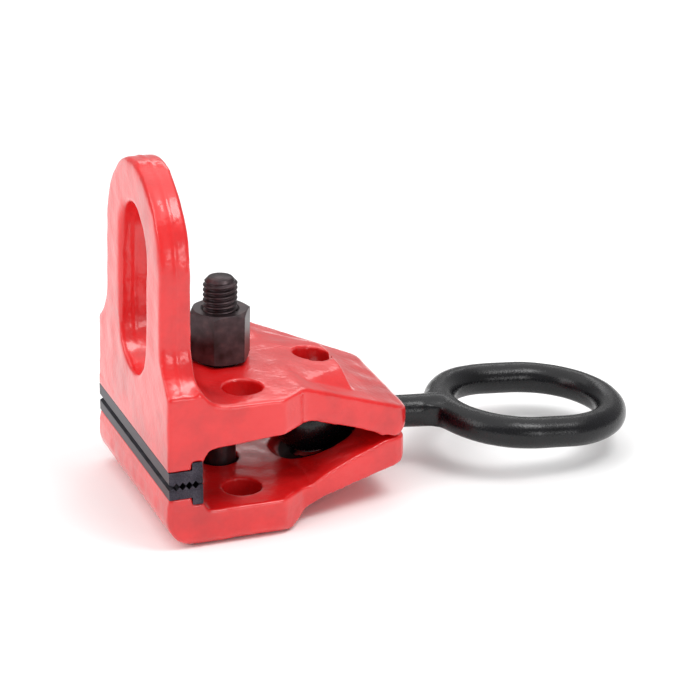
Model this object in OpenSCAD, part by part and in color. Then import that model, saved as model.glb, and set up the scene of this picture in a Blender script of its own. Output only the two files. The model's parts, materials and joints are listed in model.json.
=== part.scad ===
// Two-way pull clamp: two forged jaws, toothed inserts, clamp bolt and ball-ended pull ring.
// Millimetres, +Z up, +X towards the pull ring, base of the lower jaw on z = 0.

/* [Jaws] */
// Width over the toothed faces
jaw_w = 114.4; // [80:0.1:140]
// Length of the full-width front block
block_l = 57.7; // [45:0.1:75]
// Overall length of the jaws
jaw_l = 125.6; // [105:0.1:150]
// Half width where the rear slab starts
slab_front_hw = 46.7; // [35:0.1:55]
// Half width of the rear slab at its end
slab_rear_hw = 38; // [28:0.1:48]
// Height of the parting plane above the base
parting_z = 32.6; // [24:0.1:40]
// Height of the upper jaw's flat top above the parting plane
top_z = 37; // [30:0.1:45]
// Depth of the lower jaw's top below the parting plane
lower_top = 14.45; // [11:0.05:18]
// Lean of the upper jaw in the closed position, degrees
lean = 1.36; // [0:0.01:3]

/* [Pull eye] */
// Outer radius of the eye
eye_r = 43.8; // [36:0.1:50]
// Height of the eye's centre above the parting plane
eye_cz = 94.9; // [80:0.1:110]
// Thickness of the eye plate
eye_t = 15.3; // [12:0.1:20]
// Half width of the slot
slot_hw = 21.2; // [16:0.1:26]
// Height of the top of the slot above the parting plane
slot_top = 117.8; // [105:0.1:125]
// Height of the bottom of the slot above the parting plane
slot_bot = 35.5; // [30:0.1:50]

/* [Holes] */
// Diameter of the pull holes
hole_d = 18.7; // [14:0.1:24]
// Distance of the side holes from the jaw's front
side_hole_x = 41.5; // [35:0.1:50]
// Distance of the side holes from the middle
side_hole_y = 36.35; // [30:0.05:44]

/* [Inserts] */
// Depth of the toothed face, front to back
insert_d = 16.2; // [12:0.1:20]
// Spacing of the teeth
tooth_p = 3.1; // [2:0.1:4]
// Depth of the teeth
tooth_h = 1.7; // [1:0.1:2.5]
// Diameter of the spring pins
pin_d = 5; // [3:0.5:6]

/* [Clamp bolt and nut] */
// Diameter over the thread
bolt_d = 16.3; // [12:0.1:17]
// Distance of the bolt from the jaw's front
bolt_x = 42.34; // [38:0.01:48]
// Height of the bolt's tip above the parting plane
bolt_tip = 78; // [70:0.5:95]
// Radius of the bolt's ball head
head_r = 12.5; // [11:0.1:14]
// Width of the nut across its flats
nut_af = 26.2; // [22:0.1:30]
// Height of the nut
nut_h = 26.2; // [18:0.1:30]

/* [Pull ring] */
// Radius of the ball
ball_r = 17.5; // [15:0.1:20]
// Distance of the ball from the jaw's front
ball_x = 87; // [80:0.1:95]
// Diameter of the shank
shank_d = 16.2; // [12:0.1:18]
// Diameter of the loop's bar
bar_d = 15.6; // [12:0.1:18]
// Radius of the loop's ends at the middle of the bar
loop_r = 36; // [28:0.1:45]
// Straight length of the loop's sides
loop_s = 14; // [0:0.1:40]
// Distance from the ball to the middle of the loop
loop_x = 113.6; // [100:0.1:140]
// Droop of the ring below level, degrees
droop = 5.3; // [0:0.1:8]

/* [Hidden] */
$fn = 96;

hw = jaw_w / 2;
bar_r = bar_d / 2;
base = -parting_z;
ring_end = loop_x + loop_s / 2 + loop_r + bar_r;
mid_x = (ball_x + ring_end * cos(droop)) / 2 - 0.72;
nut_z = 36.4;
nut_dome_r = 45;
lip_gap = 0.65;
edge_r = 7.5;
front_r = 17;
bolt_hole_r = 9.5;
nut_turn = 2.2;
head_z = -24.5;
head_flat = 10;
crest_x = 69;
slab_x = 70;
lip_x = 118.34;
lip_z = 7.66;
lip_r = 5.2;
seat_up = 7.2;
seat_low = -6.3;
heel_x = 11.2;
heel_drop = 3.7;
tooth_n = 4;
pin_y = 30;
pin_x = 6;
hole_r = hole_d / 2;
flare_r = 26;
flare_z = 66;
fillet_r = 14;
eye_back = eye_t - 0.5;
boss_hw = 37;
boss_x = 98;
boss_flat = 9;
pocket_r = 24;
web_r = 12;
red = [0.82, 0.09, 0.09];
steel = [0.24, 0.22, 0.24];
oxide = [0.16, 0.13, 0.13];
black = [0.07, 0.07, 0.08];

// points of an arc, for rounded outlines
function arc(x, y, r, a0, a1, n = 8) = [for (i = [0:n]) let (a = a0 + (a1 - a0) * i / n) [x + r * cos(a), y + r * sin(a)]];
function flip(p) = [for (i = [len(p) - 1:-1:0]) [p[i][0], -p[i][1]]];

// placing
module placed() translate([-mid_x, 0, parting_z]) children();
module leaned() rotate([0, lean, 0]) children();
module drooped() translate([ball_x, 0, 0]) rotate([0, droop, 0]) children();

// a flat outline in x and z, drawn w wide across the jaw
module across(w) rotate([90, 0, 0]) linear_extrude(height = w, center = true) children();

// a flat outline in y and z, drawn from x0 to x1
module along(x0, x1) translate([x0, 0, 0]) rotate([90, 0, 90]) linear_extrude(height = x1 - x0) children();

// outline of a jaw seen from above, one side
function plan_side(front, rear) = concat(
    [[front, 0]],
    arc(front + 1, hw - 1, 1, 180, 90, 3),
    arc(block_l - 3, hw - 3, 3, 90, 45, 3),
    arc(slab_x + 1.5, slab_front_hw + 6.5, 6.5, 215, 262, 5),
    arc(rear - 9, slab_rear_hw - 9.6, 9, 80, 0, 8),
    [[rear, 0]]);

module plan(front, rear) polygon(concat(plan_side(front, rear), flip(plan_side(front, rear))));

// crowned section of the boss: flat in the middle, falling to z1 at the sides
function crown(w, z0, z1) = concat(
    [[-w, 0], [w, 0], [w, z1]],
    [for (i = [0:6]) let (t = i / 6, y = w + (boss_flat - w) * t) [y, z1 + (z0 - z1) * sin(90 * t)]],
    [for (i = [6:-1:0]) let (t = i / 6, y = w + (boss_flat - w) * t) [-y, z1 + (z0 - z1) * sin(90 * t)]]);

// raised boss over the ball, from its front height to its lower, narrower rear end
module boss(z0, z1, side) {
    hull() {
        along(crest_x - 1, crest_x - 0.9) polygon(crown(boss_hw, z0, z0 - 1.6));
        along(boss_x - 0.1, boss_x) polygon(crown(boss_hw - 4.2, z1, side));
    }
}

// rows of teeth cut across an insert's working face
module teeth(z, s) {
    for (i = [0:tooth_n - 1]) translate([3.4 + i * tooth_p, 0, z])
        across(jaw_w + 2) polygon([[-tooth_p / 2, -0.01 * s], [tooth_p / 2, -0.01 * s], [0, s * tooth_h]]);
}

module insert(seat, s) {
    gap = 0.3;
    lo = min(seat, s * gap);
    hi = max(seat, s * gap);
    difference() {
        union() {
            translate([0, -hw, lo]) cube([insert_d, jaw_w, hi - lo]);
            translate([heel_x, -hw, min(seat, seat + s * heel_drop) - 0.01 * (1 - s) / 2])
                cube([insert_d - heel_x, jaw_w, heel_drop + 0.01]);
        }
        // tapered mouth that lets sheet metal in
        across(jaw_w + 2) polygon([[-1, s * gap - s], [2.2, s * gap - s], [2.2, s * gap], [0, s * (gap + 1.3)], [-1, s * (gap + 1.3)]]);
        teeth(s * gap, s);
        insert_pins(seat, s, 0);
    }
}

module insert_pins(seat, s, extra) {
    z0 = min(seat - s * 3, seat + s * 12);
    for (y = [-pin_y, pin_y]) translate([pin_x, y, z0]) cylinder(d = pin_d, h = 15, $fn = 48);
}

// space taken up by the seat and heel of an insert
module insert_seat(seat, s) {
    z0 = min(seat - s * 30, seat);
    translate([-5, -hw - 5, z0]) cube([heel_x + 5, jaw_w + 10, 30]);
    z1 = min(seat - s * 30, seat + s * (heel_drop + 0.1));
    translate([heel_x - 0.1, -hw - 5, z1]) cube([insert_d - heel_x + 0.2, jaw_w + 10, 30 + heel_drop + 0.1]);
}

// seat for the ball, the wider pocket round it and the way out for the shank
module ball_room(room, floor) {
    translate([ball_x, 0, 0]) sphere(r = ball_r + 0.9);
    intersection() {
        translate([ball_x - 0.5, 0, 0]) sphere(r = pocket_r);
        // sloping floor that the ball climbs when the ring is pulled
        across(80) polygon([[50, floor - 9], [120, floor + 8.5], [120, 40], [50, 40]]);
    }
    drooped() rotate([0, 90, 0]) cylinder(r = shank_d / 2 + room, h = 60);
}

module side_holes(z0, z1) {
    for (y = [-side_hole_y, side_hole_y]) translate([side_hole_x, y, z0]) cylinder(r = hole_r, h = z1 - z0);
}

// side outline of the lower jaw
function lower_side() = concat(
    [[0, seat_low + 3], [heel_x + 4, seat_low + 3], [heel_x + 5.2, seat_low - heel_drop - 0.4],
     [19.5, -lower_top], [slab_x + 2, -lower_top], [80, -10.8], [94, -6], [108, -2.5], [112, -1]],
    arc(117, -lip_gap - 4, 4, 110, 90, 3),
    arc(jaw_l - 3.4, -lip_gap - 2.4, 2.4, 90, 0, 4),
    arc(jaw_l - 5, -10.8, 4, 0, -80, 4),
    [[80, -22.2], [slab_x, -25.8]],
    arc(block_l - 2, base + 14, 14, -50, -90, 5),
    arc(front_r - 1.3, base + front_r, front_r, 270, 187, 8),
    [[-0.8, -10.5], [0, seat_low - 1.2]]);

module lower_section() {
    union() {
        translate([-hw, base + edge_r]) square([jaw_w, 60]);
        translate([-hw + edge_r, base]) square([jaw_w - 2 * edge_r, 60]);
        for (y = [-1, 1]) translate([y * (hw - edge_r), base + edge_r]) circle(r = edge_r);
    }
}

module lower_jaw() {
    color(red) difference() {
        union() {
            intersection() {
                across(jaw_w + 10) polygon(lower_side());
                translate([0, 0, -60]) linear_extrude(height = 100) plan(-1.5, jaw_l - 1);
                along(-5, 130) lower_section();
            }
            // boss under the ball
            translate([0, 0, -16]) mirror([0, 0, 1]) boss(-base - 16, -base - 20, 2);
        }
        insert_seat(seat_low, -1);
        insert_pins(seat_low, -1, 0);
        side_holes(-60, 10);
        ball_room(0.5, -15.5);
        translate([ball_x + 1, 0, -60]) cylinder(r = hole_r, h = 60);
        // bolt hole, round seat and the pocket that takes the head
        leaned() {
            translate([bolt_x, 0, head_z]) cylinder(r = hole_r, h = 40);
            intersection() {
                union() {
                    translate([bolt_x, 0, head_z]) sphere(r = head_r + 0.35);
                    translate([bolt_x, 0, head_z - 20]) cylinder(r = head_r + 0.9, h = 20);
                }
                translate([bolt_x - 20, -head_flat - 0.35, head_z - 25]) cube([40, 2 * head_flat + 0.7, 50]);
            }
        }
    }
}

module lower_insert() color(steel) insert(seat_low, -1);

module lower_pins() color(steel) insert_pins(seat_low, -1, 0);

// side outline of the upper jaw below the eye
function upper_side() = concat(
    [[-0.5, seat_up - 3], [heel_x + 4.6, seat_up - 3], [heel_x + 5.4, seat_up + heel_drop + 0.1],
     [19.5, 16], [block_l, 19.4], [73, 19.4], [91, 13.2], [106.5, 6.9], [111, 3.9]],
    [[lip_x - 3, lip_z - 3.5], [lip_x + 3, lip_z - 3.5]],
    arc(jaw_l - 4, 8.5, 4, -50, 0, 3),
    arc(jaw_l - 4.5, 12.6, 4.5, 0, 66, 5),
    [[crest_x, top_z - 0.2], [crest_x - 2, top_z], [eye_back, top_z], [eye_back, 46], [-0.5, 46]]);

module eye_outline() {
    difference() {
        union() {
            translate([0, eye_cz]) circle(r = eye_r);
            translate([-eye_r, top_z]) square([2 * eye_r, eye_cz - top_z]);
            translate([-hw, seat_up]) square([jaw_w, flare_z - seat_up]);
        }
        for (y = [-1, 1]) {
            translate([y * (eye_r + flare_r), flare_z]) circle(r = flare_r);
            translate([y * (eye_r + flare_r), flare_z + 20]) square([2 * flare_r, 44], center = true);
        }
        for (z = [slot_bot + slot_hw, slot_top - slot_hw]) translate([0, z]) circle(r = slot_hw);
        translate([-slot_hw, slot_bot + slot_hw]) square([2 * slot_hw, slot_top - slot_bot - 2 * slot_hw]);
    }
}

// the eye plate widens backwards into the flat top
module eye_fillet() {
    difference() {
        translate([eye_back - 1, top_z - 2]) square([fillet_r + 1, fillet_r + 2]);
        translate([eye_back + fillet_r, top_z + fillet_r]) circle(r = fillet_r);
        translate([eye_back + fillet_r, top_z + 0.02]) square([10, 30]);
    }
}

module upper_jaw() {
    color(red) difference() {
        leaned() difference() {
            union() {
                intersection() {
                    across(jaw_w + 10) polygon(upper_side());
                    translate([0, 0, -20]) linear_extrude(height = 120) plan(-0.5, jaw_l);
                    union() {
                        along(eye_back - 1, 130) translate([-100, -10]) square([200, 100]);
                        along(-1, eye_back) eye_outline();
                    }
                }
                along(-0.5, eye_back) eye_outline();
                intersection() {
                    across(jaw_w) eye_fillet();
                    along(eye_back - 2, eye_back + 20) eye_outline();
                }
                // rounded lip that the jaw rocks on
                intersection() {
                    across(2 * hw) translate([lip_x, lip_z]) circle(r = lip_r);
                    linear_extrude(height = 30) plan(-0.5, jaw_l);
                }
                // boss over the ball
                translate([0, 0, 20]) boss(top_z - 20, top_z - 23.8, 5.4);
            }
            side_holes(-20, 60);
            // bolt hole, relieved below so that the bolt can lean as the jaw opens
            translate([bolt_x, 0, 0]) cylinder(r = bolt_hole_r, h = 48);
            translate([bolt_x, 0, 11]) cylinder(r1 = bolt_hole_r + 1.8, r2 = bolt_hole_r - 0.2, h = 22);
            translate([ball_x + 1.4, 0, 10]) cylinder(r = hole_r, h = 60);
        }
        insert_seat(seat_up, 1);
        insert_pins(seat_up, 1, 0);
        ball_room(1.5, -40);
    }
}

module upper_insert() color(steel) insert(seat_up, 1);

module upper_pins() color(steel) insert_pins(seat_up, 1, 0);

module clamp_bolt() {
    color(oxide) leaned() translate([bolt_x, 0, 0]) {
        difference() {
            union() {
                translate([0, 0, head_z]) cylinder(d = bolt_d, h = bolt_tip - 1.8 - head_z);
                translate([0, 0, bolt_tip - 1.8]) cylinder(d1 = bolt_d, d2 = bolt_d - 3.2, h = 1.8);
                translate([0, 0, head_z]) sphere(r = head_r);
            }
            // flat underside and two flats that stop the head turning
            translate([-20, -20, head_z - 30]) cube([40, 40, 26]);
            for (y = [-1, 1]) translate([-20, y * (head_flat + 10) - 10, head_z - 15]) cube([40, 20, 22.5]);
        }
    }
}

module clamp_nut() {
    color(oxide) leaned() translate([bolt_x, 0, nut_z]) {
        difference() {
            intersection() {
                rotate([0, 0, nut_turn]) cylinder(r = nut_af / 2 / cos(30), h = nut_h, $fn = 6);
                // rounded underside
                translate([0, 0, nut_dome_r]) sphere(r = nut_dome_r);
                // corners eased round the underside
                union() {
                    translate([0, 0, -1.2]) cylinder(r1 = nut_af / 2 - 1, r2 = nut_af / 2 + 5, h = 6);
                    translate([0, 0, 4.5]) cylinder(r = nut_af / 2 + 5, h = nut_h);
                }
                // chamfered corners at the top
                union() {
                    translate([0, 0, -2]) cylinder(r = nut_af, h = nut_h + 0.5);
                    translate([0, 0, nut_h - 1.6]) cylinder(r1 = nut_af / 2 + 2.4, r2 = nut_af / 2 - 0.4, h = 1.61);
                }
            }
            translate([0, 0, -1]) cylinder(d = bolt_d + 0.1, h = nut_h + 2);
            translate([0, 0, nut_h - 0.9]) cylinder(d1 = bolt_d, d2 = bolt_d + 2.4, h = 1);
        }
    }
}

module loop_end(s) {
    translate([loop_x + s * loop_s / 2, 0, 0]) rotate([0, 0, s * 90 - 180])
        rotate_extrude(angle = 180) translate([loop_r, 0]) circle(d = bar_d);
}

module pull_ring() {
    neck_x = loop_x - loop_s / 2 - loop_r;
    color(black) drooped() {
        sphere(r = ball_r);
        rotate([0, 90, 0]) cylinder(d = shank_d, h = neck_x - 1);
        loop_end(1);
        loop_end(-1);
        for (y = [-1, 1]) translate([loop_x - loop_s / 2, y * loop_r, 0])
            rotate([0, 90, 0]) cylinder(d = bar_d, h = loop_s);
        // web that fills the neck
        translate([0, 0, -bar_r * 0.75]) linear_extrude(height = bar_r * 1.5) difference() {
            translate([neck_x - web_r - 1, -web_r - bar_r]) square([web_r + 8, 2 * (web_r + bar_r)]);
            for (y = [-1, 1]) translate([neck_x - web_r - 1, y * (web_r + shank_d / 2)]) circle(r = web_r);
            translate([loop_x - loop_s / 2, 0]) circle(r = loop_r);
        }
    }
}

placed() lower_jaw();
placed() lower_insert();
placed() lower_pins();
placed() clamp_bolt();
placed() clamp_nut();
placed() upper_jaw();
placed() upper_insert();
placed() upper_pins();
placed() pull_ring();
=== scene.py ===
import bpy
import json
import math
import numpy as np
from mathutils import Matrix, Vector


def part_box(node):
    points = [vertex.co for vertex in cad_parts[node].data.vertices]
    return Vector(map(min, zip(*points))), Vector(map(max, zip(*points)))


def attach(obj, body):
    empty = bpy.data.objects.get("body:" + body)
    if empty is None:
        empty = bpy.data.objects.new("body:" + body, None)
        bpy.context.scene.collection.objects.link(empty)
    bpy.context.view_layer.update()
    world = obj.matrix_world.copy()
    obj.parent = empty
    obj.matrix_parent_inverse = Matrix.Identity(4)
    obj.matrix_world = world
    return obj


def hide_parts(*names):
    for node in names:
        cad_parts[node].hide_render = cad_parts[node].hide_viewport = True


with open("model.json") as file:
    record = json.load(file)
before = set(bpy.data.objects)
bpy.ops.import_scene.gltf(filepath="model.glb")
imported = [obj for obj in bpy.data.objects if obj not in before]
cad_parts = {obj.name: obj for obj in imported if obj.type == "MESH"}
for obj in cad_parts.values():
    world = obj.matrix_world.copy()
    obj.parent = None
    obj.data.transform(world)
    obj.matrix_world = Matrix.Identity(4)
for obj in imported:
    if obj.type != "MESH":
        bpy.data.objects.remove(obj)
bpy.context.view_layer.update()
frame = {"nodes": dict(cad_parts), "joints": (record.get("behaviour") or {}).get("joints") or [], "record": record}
print("frame loaded, pieces:", ", ".join(sorted(frame["nodes"])))

mm = 0.001
mounts = {m["name"]: m for m in frame["record"]["mounts"]}
joints = {j["name"]: j for j in frame["joints"]}

# small helpers

def hexColour(text):
    # sRGB hex to linear
    channels = []
    for i in (0, 2, 4):
        c = int(text.lstrip("#")[i:i + 2], 16) / 255
        channels.append(c / 12.92 if c <= 0.04045 else ((c + 0.055) / 1.055) ** 2.4)
    return (*channels, 1.0)


def addNode(tree, kind, links=(), **settings):
    # a setting named in_NAME fills an input, anything else is a property of the node
    node = tree.nodes.new(kind)
    for name, value in settings.items():
        if name.startswith("in_"):
            key = name[3:]
            node.inputs[int(key) if key.isdigit() else key.replace("_", " ")].default_value = value
        else:
            setattr(node, name, value)
    for source, target in links:
        tree.links.new(source, node.inputs[target])
    return node


def newMaterial(name):
    material = bpy.data.materials.new(name)
    material.use_nodes = True
    tree = material.node_tree
    tree.nodes.clear()
    shader = addNode(tree, "ShaderNodeBsdfPrincipled")
    addNode(tree, "ShaderNodeOutputMaterial", [(shader.outputs[0], "Surface")])
    place = addNode(tree, "ShaderNodeTexCoord").outputs["Object"]
    return material, tree, shader, place


def setColourStops(ramp, stops):
    band = ramp.color_ramp
    while len(band.elements) > 1:
        band.elements.remove(band.elements[-1])
    band.elements[0].position = stops[0][0]
    band.elements[0].color = hexColour(stops[0][1])
    for position, colour in stops[1:]:
        band.elements.new(position).color = hexColour(colour)


def scaleFor(sizeMm):
    # a pattern's scale for features of a given size, object space being in metres
    return 1 / (sizeMm * mm)


def addObject(name, data):
    thing = bpy.data.objects.new(name, data)
    bpy.context.scene.collection.objects.link(thing)
    return thing


# materials: roughness is given from the shiniest patches to the dullest

enamel = dict(
    deep="#C00C10", main="#DD1719", pale="#E52729", driftMm=38,
    roughness=(0.28, 0.38), coat=0.6, coatRoughness=0.15,
    # the pocket colour is painted shade, near-black, for the deep shadow in the ball's pocket
    pocketShade="#0B0606", pocketShadeRoughness=0.5, pocketMm=24.6, pocketFadeMm=1.4,
    waveMm=8.0, waveBump=0.26, waveDepthMm=0.6,
    dentMm=2.6, dentBump=0.30, dentDepthMm=0.3,
    peelMm=1.0, peelBump=0.22, peelDepthMm=0.2,
)


def redEnamel():
    # stoved gloss enamel on a shot-blasted forging: a wet shine that wobbles over marks and orange peel
    material, tree, shader, place = newMaterial("gloss red stoved enamel")
    drift = addNode(tree, "ShaderNodeTexNoise", [(place, "Vector")],
                    in_Scale=scaleFor(enamel["driftMm"]), in_Detail=5.0, in_Roughness=0.6)
    tint = addNode(tree, "ShaderNodeValToRGB", [(drift.outputs[0], "Fac")])
    setColourStops(tint, [(0.30, enamel["deep"]), (0.5, enamel["main"]), (0.72, enamel["pale"])])

    # painted shade: the ball's pocket is coloured near-black where deep shadow falls in it, and there the enamel
    # is made rougher and loses its coat
    away = addNode(tree, "ShaderNodeVectorMath", [(place, 0)],
                   operation="DISTANCE", in_1=joints["ring_turn"]["pos_m"])
    pocketShadeMask = addNode(tree, "ShaderNodeMapRange", [(away.outputs["Value"], "Value")],
                      in_1=enamel["pocketMm"] * mm,
                      in_2=(enamel["pocketMm"] - enamel["pocketFadeMm"]) * mm)
    pocketShadeColour = addNode(tree, "ShaderNodeMix", [(pocketShadeMask.outputs[0], 0), (tint.outputs[0], 6)],
                     data_type="RGBA", in_7=hexColour(enamel["pocketShade"]))
    tree.links.new(pocketShadeColour.outputs[2], shader.inputs["Base Color"])

    wave = addNode(tree, "ShaderNodeTexNoise", [(place, "Vector")],
                   in_Scale=scaleFor(enamel["waveMm"]), in_Detail=3.0)
    dents = addNode(tree, "ShaderNodeTexVoronoi", [(place, "Vector")],
                    in_Scale=scaleFor(enamel["dentMm"]), feature="SMOOTH_F1", in_Smoothness=0.6)
    peel = addNode(tree, "ShaderNodeTexNoise", [(place, "Vector")],
                   in_Scale=scaleFor(enamel["peelMm"]), in_Detail=2.0)
    first = addNode(tree, "ShaderNodeBump", [(wave.outputs[0], "Height")],
                    in_Strength=enamel["waveBump"], in_Distance=enamel["waveDepthMm"] * mm)
    second = addNode(tree, "ShaderNodeBump", [(dents.outputs[0], "Height"), (first.outputs[0], "Normal")],
                     in_Strength=enamel["dentBump"], in_Distance=enamel["dentDepthMm"] * mm)
    third = addNode(tree, "ShaderNodeBump", [(peel.outputs[0], "Height"), (second.outputs[0], "Normal")],
                    in_Strength=enamel["peelBump"], in_Distance=enamel["peelDepthMm"] * mm)
    tree.links.new(third.outputs[0], shader.inputs["Normal"])
    tree.links.new(second.outputs[0], shader.inputs["Coat Normal"])

    shiny, dull = enamel["roughness"]
    gloss = addNode(tree, "ShaderNodeMapRange", [(drift.outputs[0], "Value")], in_3=shiny, in_4=dull)
    # in the painted shade of the ball's pocket the enamel is rougher and has no coat
    rough = addNode(tree, "ShaderNodeMath", [(pocketShadeMask.outputs[0], 0), (gloss.outputs[0], 2)],
                    operation="MULTIPLY_ADD", in_1=enamel["pocketShadeRoughness"])
    tree.links.new(rough.outputs[0], shader.inputs["Roughness"])
    wet = addNode(tree, "ShaderNodeMapRange", [(pocketShadeMask.outputs[0], "Value")], in_3=enamel["coat"], in_4=0.0)
    tree.links.new(wet.outputs[0], shader.inputs["Coat Weight"])
    shader.inputs["Coat Roughness"].default_value = enamel["coatRoughness"]
    shader.inputs["IOR"].default_value = 1.5
    return material


oxide = dict(dark="#2C2222", main="#43373A", brown="#5A4848", cloudMm=6, roughness=(0.28, 0.48),
             metallic=0.7, markMm=0.8, markBump=0.2, markDepthMm=0.1)


def blackOxide():
    # oil-blacked machined steel: brown-black and faintly cloudy, with a dull shine
    material, tree, shader, place = newMaterial("black oxide steel")
    cloud = addNode(tree, "ShaderNodeTexNoise", [(place, "Vector")],
                    in_Scale=scaleFor(oxide["cloudMm"]), in_Detail=6.0)
    tint = addNode(tree, "ShaderNodeValToRGB", [(cloud.outputs[0], "Fac")])
    setColourStops(tint, [(0.3, oxide["dark"]), (0.55, oxide["main"]), (0.75, oxide["brown"])])
    tree.links.new(tint.outputs[0], shader.inputs["Base Color"])
    shiny, dull = oxide["roughness"]
    rough = addNode(tree, "ShaderNodeMapRange", [(cloud.outputs[0], "Value")], in_3=shiny, in_4=dull)
    tree.links.new(rough.outputs[0], shader.inputs["Roughness"])
    marks = addNode(tree, "ShaderNodeTexNoise", [(place, "Vector")],
                    in_Scale=scaleFor(oxide["markMm"]), in_Detail=4.0)
    bump = addNode(tree, "ShaderNodeBump", [(marks.outputs[0], "Height")],
                   in_Strength=oxide["markBump"], in_Distance=oxide["markDepthMm"] * mm)
    tree.links.new(bump.outputs[0], shader.inputs["Normal"])
    shader.inputs["Metallic"].default_value = oxide["metallic"]
    return material


# a worn-steel edge colour, made bright enough to be a painted highlight on the nut's edges
rubbedAndHighlit = dict(main="#A59A96", bright="#DAD2CE", cloudMm=2.5, roughness=(0.24, 0.40), metallic=0.9)


def rubbedAndHighlitSteel():
    # bare steel where handling has worn the blacking off the edges, made extra bright so that its thin broken
    # lines stand in for edge highlights: partly real wear, partly painted highlight
    material, tree, shader, place = newMaterial("bare steel worn and painted with highlight")
    cloud = addNode(tree, "ShaderNodeTexNoise", [(place, "Vector")],
                    in_Scale=scaleFor(rubbedAndHighlit["cloudMm"]), in_Detail=4.0)
    tint = addNode(tree, "ShaderNodeValToRGB", [(cloud.outputs[0], "Fac")])
    setColourStops(tint, [(0.32, oxide["main"]), (0.45, rubbedAndHighlit["main"]), (0.62, rubbedAndHighlit["bright"])])
    tree.links.new(tint.outputs[0], shader.inputs["Base Color"])
    shiny, dull = rubbedAndHighlit["roughness"]
    rough = addNode(tree, "ShaderNodeMapRange", [(cloud.outputs[0], "Value")], in_3=dull, in_4=shiny)
    tree.links.new(rough.outputs[0], shader.inputs["Roughness"])
    shader.inputs["Metallic"].default_value = rubbedAndHighlit["metallic"]
    return material


toothSteel = dict(dark="#1E1B1F", main="#35313A", pale="#4C4850", roughness=(0.28, 0.48), metallic=0.8,
                  cutterMm=3, cutterStretch=(6.0, 0.5, 6.0), cutterBump=0.2, cutterDepthMm=0.1, cloudMm=9)


def hardenedSteel():
    # quench-darkened tool steel, milled: grey with faint cutter lines along the insert
    material, tree, shader, place = newMaterial("hardened dark tool steel")
    stretch = addNode(tree, "ShaderNodeMapping", [(place, "Vector")], in_Scale=toothSteel["cutterStretch"])
    lines = addNode(tree, "ShaderNodeTexNoise", [(stretch.outputs[0], "Vector")],
                    in_Scale=scaleFor(toothSteel["cutterMm"]), in_Detail=4.0)
    cloud = addNode(tree, "ShaderNodeTexNoise", [(place, "Vector")],
                    in_Scale=scaleFor(toothSteel["cloudMm"]), in_Detail=4.0)
    blend = addNode(tree, "ShaderNodeMix", [(lines.outputs[0], 2), (cloud.outputs[0], 3)],
                    data_type="FLOAT", in_0=0.5)
    tint = addNode(tree, "ShaderNodeValToRGB", [(blend.outputs[0], "Fac")])
    setColourStops(tint, [(0.35, toothSteel["dark"]), (0.5, toothSteel["main"]), (0.68, toothSteel["pale"])])
    tree.links.new(tint.outputs[0], shader.inputs["Base Color"])
    shiny, dull = toothSteel["roughness"]
    rough = addNode(tree, "ShaderNodeMapRange", [(blend.outputs[0], "Value")], in_3=shiny, in_4=dull)
    tree.links.new(rough.outputs[0], shader.inputs["Roughness"])
    bump = addNode(tree, "ShaderNodeBump", [(lines.outputs[0], "Height")],
                   in_Strength=toothSteel["cutterBump"], in_Distance=toothSteel["cutterDepthMm"] * mm)
    tree.links.new(bump.outputs[0], shader.inputs["Normal"])
    shader.inputs["Metallic"].default_value = toothSteel["metallic"]
    return material


powder = dict(main="#050507", pale="#0F0F13", driftMm=14, roughness=(0.12, 0.37), ior=1.42,
              pitMm=5, pitBump=0.12, pitDepthMm=0.3, grainMm=0.9, grainBump=0.5, grainDepthMm=0.2)


def blackPowder():
    # semi-gloss black powder coat on a forging: fine pebbled skin that breaks highlights into specks
    material, tree, shader, place = newMaterial("black powder coat")
    drift = addNode(tree, "ShaderNodeTexNoise", [(place, "Vector")],
                    in_Scale=scaleFor(powder["driftMm"]), in_Detail=4.0)
    tint = addNode(tree, "ShaderNodeValToRGB", [(drift.outputs[0], "Fac")])
    setColourStops(tint, [(0.35, powder["main"]), (0.75, powder["pale"])])
    tree.links.new(tint.outputs[0], shader.inputs["Base Color"])
    grain = addNode(tree, "ShaderNodeTexNoise", [(place, "Vector")],
                    in_Scale=scaleFor(powder["grainMm"]), in_Detail=3.0)
    pits = addNode(tree, "ShaderNodeTexNoise", [(place, "Vector")],
                   in_Scale=scaleFor(powder["pitMm"]), in_Detail=2.0)
    first = addNode(tree, "ShaderNodeBump", [(pits.outputs[0], "Height")],
                    in_Strength=powder["pitBump"], in_Distance=powder["pitDepthMm"] * mm)
    second = addNode(tree, "ShaderNodeBump", [(grain.outputs[0], "Height"), (first.outputs[0], "Normal")],
                     in_Strength=powder["grainBump"], in_Distance=powder["grainDepthMm"] * mm)
    tree.links.new(second.outputs[0], shader.inputs["Normal"])
    shiny, dull = powder["roughness"]
    rough = addNode(tree, "ShaderNodeMapRange", [(grain.outputs[0], "Value")], in_3=shiny, in_4=dull)
    tree.links.new(rough.outputs[0], shader.inputs["Roughness"])
    shader.inputs["IOR"].default_value = powder["ior"]
    return material


materials = {
    "red_enamel": redEnamel(),
    "black_oxide": blackOxide(),
    "tooth_steel": hardenedSteel(),
    "black_powder": blackPowder(),
}
rubbedAndHighlitEdge = rubbedAndHighlitSteel()
print("materials made:", len(materials) + 1)


# forgings: the machined solid becomes an even skin, its edges are worn round, and it is made uneven

def evenSkin(node, name, voxel):
    copy = frame["nodes"][node].copy()
    copy.data = frame["nodes"][node].data.copy()
    bpy.context.scene.collection.objects.link(copy)
    copy.hide_render = copy.hide_viewport = False
    remesh = copy.modifiers.new("skin", "REMESH")
    remesh.mode = "VOXEL"
    remesh.voxel_size = voxel
    bpy.context.view_layer.update()
    mesh = bpy.data.meshes.new_from_object(copy.evaluated_get(bpy.context.evaluated_depsgraph_get()))
    bpy.data.objects.remove(copy)
    mesh.name = name
    return addObject(name, mesh)


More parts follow.
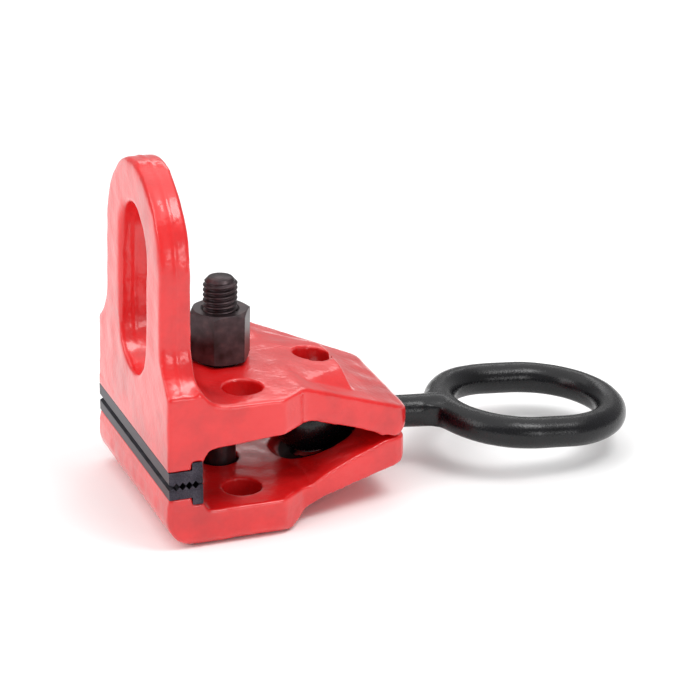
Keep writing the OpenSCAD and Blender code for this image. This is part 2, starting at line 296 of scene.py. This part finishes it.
def readPoints(mesh):
    points = np.empty(len(mesh.vertices) * 3)
    mesh.vertices.foreach_get("co", points)
    return points.reshape(-1, 3)


def writePoints(mesh, points):
    mesh.vertices.foreach_set("co", points.ravel())
    mesh.update()


def edgePairs(mesh):
    pairs = np.empty(len(mesh.edges) * 2, dtype=np.int64)
    mesh.edges.foreach_get("vertices", pairs)
    return pairs.reshape(-1, 2)


def neighbourMean(points, pairs, count):
    one, other = pairs.T
    total = np.empty_like(points)
    for axis in range(points.shape[1]):
        total[:, axis] = (np.bincount(one, points[other, axis], len(points))
                          + np.bincount(other, points[one, axis], len(points)))
    return total / count[:, None]


def wearRound(points, pairs, rounds, share, stride=0.5):
    # each round moves a point towards its neighbours by its own share of the stride
    count = np.bincount(pairs.ravel(), minlength=len(points)).astype(float)
    for _ in range(rounds):
        points = points + stride * share[:, None] * (neighbourMean(points, pairs, count) - points)
    return points


def skinNormals(mesh):
    normals = np.empty(len(mesh.vertices) * 3)
    mesh.vertices.foreach_get("normal", normals)
    return normals.reshape(-1, 3)


def waves(points, size, seed, count=14, shortest=0.6, longest=1.7):
    # a smooth uneven height built from plane waves of about one size
    random = np.random.default_rng(seed)
    height = np.zeros(len(points))
    for _ in range(count):
        direction = random.normal(size=3)
        direction /= np.linalg.norm(direction)
        length = size * random.uniform(shortest, longest)
        height += np.sin(points @ direction * 2 * math.pi / length + random.uniform(0, 2 * math.pi))
    return height / math.sqrt(count)


def stand(skin, node, body, material):
    # the finished skin stands for its CAD node and rides on the same body
    skin.data.materials.clear()
    skin.data.materials.append(materials[material])
    skin.data.polygons.foreach_set("use_smooth", [True] * len(skin.data.polygons))
    skin.data.update()
    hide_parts(node)
    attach(skin, body)


# jaws

forging = dict(
    voxel=0.82 * mm, rounds=26,
    blockShare=0.34, holeShare=0.2, seatShare=0.08,  # how fast each place wears, the eye being 1
    holeReach=5 * mm, seatMargin=1.2 * mm,
    eyeFrom=88 * mm, eyeTo=112 * mm,
    waveSize=14 * mm, waveHeight=0.12 * mm, seeds=dict(upper=7, lower=11),
)
flash = dict(height=0.35 * mm, width=0.9 * mm, startAt=74 * mm, fadeIn=10 * mm)


def holeKeep(points, prefix):
    # 1 on the wall of each of the jaw's upright holes, falling to 0 a little way from it
    keep = np.zeros(len(points))
    radius = mounts["upper_side_hole_near"]["dims"]["r_mm"] * mm
    for name, mount in mounts.items():
        if name.startswith(prefix) and "_hole" in name:
            x, y, z = mount["pos_m"]
            gap = np.abs(np.hypot(points[:, 0] - x, points[:, 1] - y) - radius)
            keep = np.maximum(keep, np.clip(1 - gap / forging["holeReach"], 0, 1))
    return keep


def flashLine(points, normals):
    # the line where the forging dies met, round the eye's rim and the slot's wall
    axis = mounts["eye_slot"]["axis"]
    across = np.array([axis[2], 0, -axis[0]])
    off = (points - np.array(mounts["eye_slot"]["pos_m"])) @ across
    edgeOn = np.clip(1 - 2 * np.abs(normals @ across), 0, 1)
    aboveBlock = np.clip((points[:, 2] - flash["startAt"]) / flash["fadeIn"], 0, 1)
    return flash["height"] * np.exp(-(off / flash["width"]) ** 2) * edgeOn * aboveBlock


def forgeJaw(node, prefix):
    skin = evenSkin(node, node + "_forging", forging["voxel"])
    points = readPoints(skin.data)
    pairs = edgePairs(skin.data)

    # the tall eye is worn rounder than the block below it
    upTheEye = np.clip((points[:, 2] - forging["eyeFrom"]) / (forging["eyeTo"] - forging["eyeFrom"]), 0, 1)
    share = forging["blockShare"] + (1 - forging["blockShare"]) * upTheEye
    share *= 1 - (1 - forging["holeShare"]) * holeKeep(points, prefix)

    # the seat that the insert is pressed on stays square
    low, high = np.array(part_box(prefix + "_insert"))
    margin = forging["seatMargin"]
    inside = np.all((points > low - margin) & (points < high + margin), axis=1)
    share[inside] = forging["seatShare"]

    points = wearRound(points, pairs, forging["rounds"], share)
    writePoints(skin.data, points)
    bump = waves(points, forging["waveSize"], forging["seeds"][prefix]) * forging["waveHeight"]
    bump[inside] = 0
    normals = skinNormals(skin.data)
    if prefix == "upper":
        bump += flashLine(points, normals)
    points = points + normals * bump[:, None]
    points[:, 2] = np.maximum(points[:, 2], 0)
    writePoints(skin.data, points)
    stand(skin, node, prefix, "red_enamel")
    print(node, "forged:", len(skin.data.polygons), "faces")


forgeJaw("upper_jaw", "upper")
forgeJaw("lower_jaw", "lower")

# pull ring

ring = dict(voxel=0.75 * mm, rounds=16, waveSize=22 * mm, waveHeight=0.07 * mm, seed=5)


def forgeRing():
    skin = evenSkin("pull_ring", "pull_ring_forging", ring["voxel"])
    points = readPoints(skin.data)
    points = wearRound(points, edgePairs(skin.data), ring["rounds"], np.ones(len(points)))
    writePoints(skin.data, points)
    bump = waves(points, ring["waveSize"], ring["seed"]) * ring["waveHeight"]
    writePoints(skin.data, points + skinNormals(skin.data) * bump[:, None])
    stand(skin, "pull_ring", "ring", "black_powder")
    print("pull ring forged:", len(skin.data.polygons), "faces")


forgeRing()

# clamp bolt: the plain bar is replaced by one with a rolled thread; heights are from the ball head's centre

bolt = dict(
    radius=8.15 * mm, relief=0.05 * mm, shankFrom=9.8 * mm, threadFrom=38 * mm, tipAlong=102.5 * mm,
    headRadius=12.5 * mm, headFrom=-0.32, headTo=0.765,  # where the ball is cut, in head radii
    flats=10 * mm, flatsBelow=7.5 * mm, sharpAngle=50,
    headRows=28, shankRows=12,
)
thread = dict(
    pitch=2.5 * mm, depth=1.4 * mm, flat=0.12, runOut=1.5,  # flat in half pitches, runOut in pitches
    chamfer=2.6 * mm, chamferSlope=0.9, perTurn=96, perPitch=12,
)


def boltRows():
    step = thread["pitch"] / thread["perPitch"]
    rows = [bolt["headRadius"] * t for t in np.linspace(bolt["headFrom"], bolt["headTo"], bolt["headRows"])]
    rows += list(np.linspace(bolt["shankFrom"], bolt["threadFrom"], bolt["shankRows"]))
    rows += list(np.arange(bolt["threadFrom"] + step, bolt["tipAlong"], step))
    return rows + [bolt["tipAlong"]]


def boltRadii(angles, z):
    if z < bolt["shankFrom"]:
        return np.full(len(angles), math.sqrt(bolt["headRadius"] ** 2 - z ** 2))
    if z < bolt["threadFrom"]:
        return np.full(len(angles), bolt["radius"] - bolt["relief"])
    phase = (z / thread["pitch"] - angles / (2 * math.pi)) % 1
    ridge = np.abs(2 * phase - 1)
    ridge = np.clip((ridge - thread["flat"]) / (1 - 2 * thread["flat"]), 0, 1)
    ridge = ridge * ridge * (3 - 2 * ridge)
    fadeIn = min(1, (z - bolt["threadFrom"]) / (thread["runOut"] * thread["pitch"]))
    radii = bolt["radius"] - thread["depth"] * (1 - ridge) * fadeIn
    intoTip = max(0, z - (bolt["tipAlong"] - thread["chamfer"]))
    return np.minimum(radii, bolt["radius"] - intoTip * thread["chamferSlope"])


def roundBar(name, radiiAt, rows, count):
    # a bar whose radius is given for every angle and height, closed at both ends
    angles = np.arange(count) * 2 * math.pi / count
    points = []
    for z in rows:
        points += [(r * math.cos(a), r * math.sin(a), z) for r, a in zip(radiiAt(angles, z), angles)]
    faces = []
    for row in range(len(rows) - 1):
        for i in range(count):
            j = (i + 1) % count
            faces.append((row * count + i, row * count + j, (row + 1) * count + j, (row + 1) * count + i))
    last = (len(rows) - 1) * count
    bottom, top = len(points), len(points) + 1
    points += [(0, 0, rows[0]), (0, 0, rows[-1])]
    for i in range(count):
        faces.append(((i + 1) % count, i, bottom))
    for i in range(count):
        faces.append((last + i, last + (i + 1) % count, top))
    mesh = bpy.data.meshes.new(name)
    mesh.from_pydata(points, [], faces)
    mesh.update()
    return addObject(name, mesh)


def threadedBolt():
    bar = roundBar("clamp_bolt_threaded", boltRadii, boltRows(), thread["perTurn"])
    # two flats on the head, as in the pocket that holds it
    points = readPoints(bar.data)
    low = points[:, 2] < bolt["flatsBelow"]
    points[low, 1] = np.clip(points[low, 1], -bolt["flats"], bolt["flats"])
    lean = Vector((0, 0, 1)).rotation_difference(Vector(joints["nut_travel"]["axis"]))
    turn = np.array(lean.to_matrix())
    writePoints(bar.data, points @ turn.T + np.array(Vector(joints["bolt_lean"]["pos_m"])))
    stand(bar, "clamp_bolt", "bolt", "black_oxide")
    edges = bar.modifiers.new("edges", "EDGE_SPLIT")
    edges.split_angle = math.radians(bolt["sharpAngle"])
    print("bolt threaded:", len(bar.data.polygons), "faces")


threadedBolt()

# the nut, the inserts and the pins keep their machined shape, with the sharpness taken off their edges

machined = {
    "clamp_nut": dict(finish="black_oxide", edge=0.3 * mm),
    "lower_insert": dict(finish="tooth_steel", edge=0.22 * mm),
    "upper_insert": dict(finish="tooth_steel", edge=0.22 * mm),
    "lower_pins": dict(finish="tooth_steel", edge=0.3 * mm),
    "upper_pins": dict(finish="tooth_steel", edge=0.3 * mm),
}
edgeSegments = 2
edgeAngle = 28  # degrees between two faces, from which their meeting counts as an edge


def breakEdges(node, finish, edge):
    piece = frame["nodes"][node]
    piece.data.materials.clear()
    piece.data.materials.append(materials[finish])
    bevel = piece.modifiers.new("broken edges", "BEVEL")
    bevel.width = edge
    bevel.segments = edgeSegments
    bevel.limit_method = "ANGLE"
    bevel.angle_limit = math.radians(edgeAngle)
    if node == "clamp_nut":
        # the spanner has worn the nut's edges bare; the extra bright bevel there is also a painted highlight
        piece.data.materials.append(rubbedAndHighlitEdge)
        bevel.material = 1


for node, values in machined.items():
    breakEdges(node, **values)

print("machined pieces finished:", len(machined))

# floor, light and camera, in metres

studio = dict(
    floor="#FFFFFF", floorReach=3.0, floorRoughness=0.9, paperMm=3, paperBump=0.03, paperDepthMm=0.1,
    sky=0.42,
)
softBoxes = {
    "ceiling panel": dict(place=(0, 0.2, 2.4), target=(0, 0.2, 0), size=(4.0, 4.0), watts=52.0),
    "overhead key box": dict(place=(0.40, -0.42, 1.2), target=(0, 0, 0.06), size=(0.45, 0.45), watts=5.0),
    "front soft box": dict(place=(0.45, -1.5, 0.42), target=(0, 0, 0.06), size=(0.5, 0.4), watts=3.0),
    "left soft box": dict(place=(-1.3, -0.2, 0.9), target=(0, 0, 0.07), size=(0.9, 0.9), watts=8.0),
    "rear rim box": dict(place=(0.5, 1.3, 0.9), target=(0, 0, 0.05), size=(0.9, 0.3), watts=2.0),
}
view = dict(place=(-504.68 * mm, -1336.48 * mm, 642.48 * mm), azimuth=-20.083, elevation=22.133, lens=165.33)


def studioFloor():
    mesh = bpy.data.meshes.new("floor")
    far = studio["floorReach"]
    mesh.from_pydata([(-far, -far, 0), (far, -far, 0), (far, far, 0), (-far, far, 0)], [], [(0, 1, 2, 3)])
    floor = addObject("floor", mesh)
    material, tree, shader, place = newMaterial("matt white paper")
    grain = addNode(tree, "ShaderNodeTexNoise", [(place, "Vector")],
                    in_Scale=scaleFor(studio["paperMm"]), in_Detail=3.0)
    bump = addNode(tree, "ShaderNodeBump", [(grain.outputs[0], "Height")],
                   in_Strength=studio["paperBump"], in_Distance=studio["paperDepthMm"] * mm)
    tree.links.new(bump.outputs[0], shader.inputs["Normal"])
    shader.inputs["Base Color"].default_value = hexColour(studio["floor"])
    shader.inputs["Roughness"].default_value = studio["floorRoughness"]
    mesh.materials.append(material)


def softBox(name, place, target, size, watts):
    light = bpy.data.lights.new(name, "AREA")
    light.shape = "RECTANGLE"
    light.size, light.size_y = size
    light.energy = watts
    lamp = addObject(name, light)
    lamp.location = place
    lamp.rotation_euler = (Vector(target) - Vector(place)).to_track_quat("-Z", "Y").to_euler()


def whiteSky():
    world = bpy.data.worlds.new("white studio")
    world.use_nodes = True
    background = world.node_tree.nodes["Background"]
    background.inputs["Color"].default_value = (1, 1, 1, 1)
    background.inputs["Strength"].default_value = studio["sky"]
    bpy.context.scene.world = world
    bpy.context.scene.view_settings.view_transform = "Standard"


def studioCamera():
    lens = bpy.data.cameras.new("camera")
    lens.sensor_width = 36
    lens.lens = view["lens"]
    lens.clip_start = 0.05
    lens.clip_end = 20
    camera = addObject("camera", lens)
    camera.location = view["place"]
    a, e = math.radians(view["azimuth"]), math.radians(view["elevation"])
    back = Vector((math.sin(a) * math.cos(e), -math.cos(a) * math.cos(e), math.sin(e)))
    camera.rotation_euler = (-back).to_track_quat("-Z", "Y").to_euler()
    bpy.context.scene.camera = camera


studioFloor()
for name, values in softBoxes.items():
    softBox(name, **values)
whiteSky()
studioCamera()
print("studio ready")
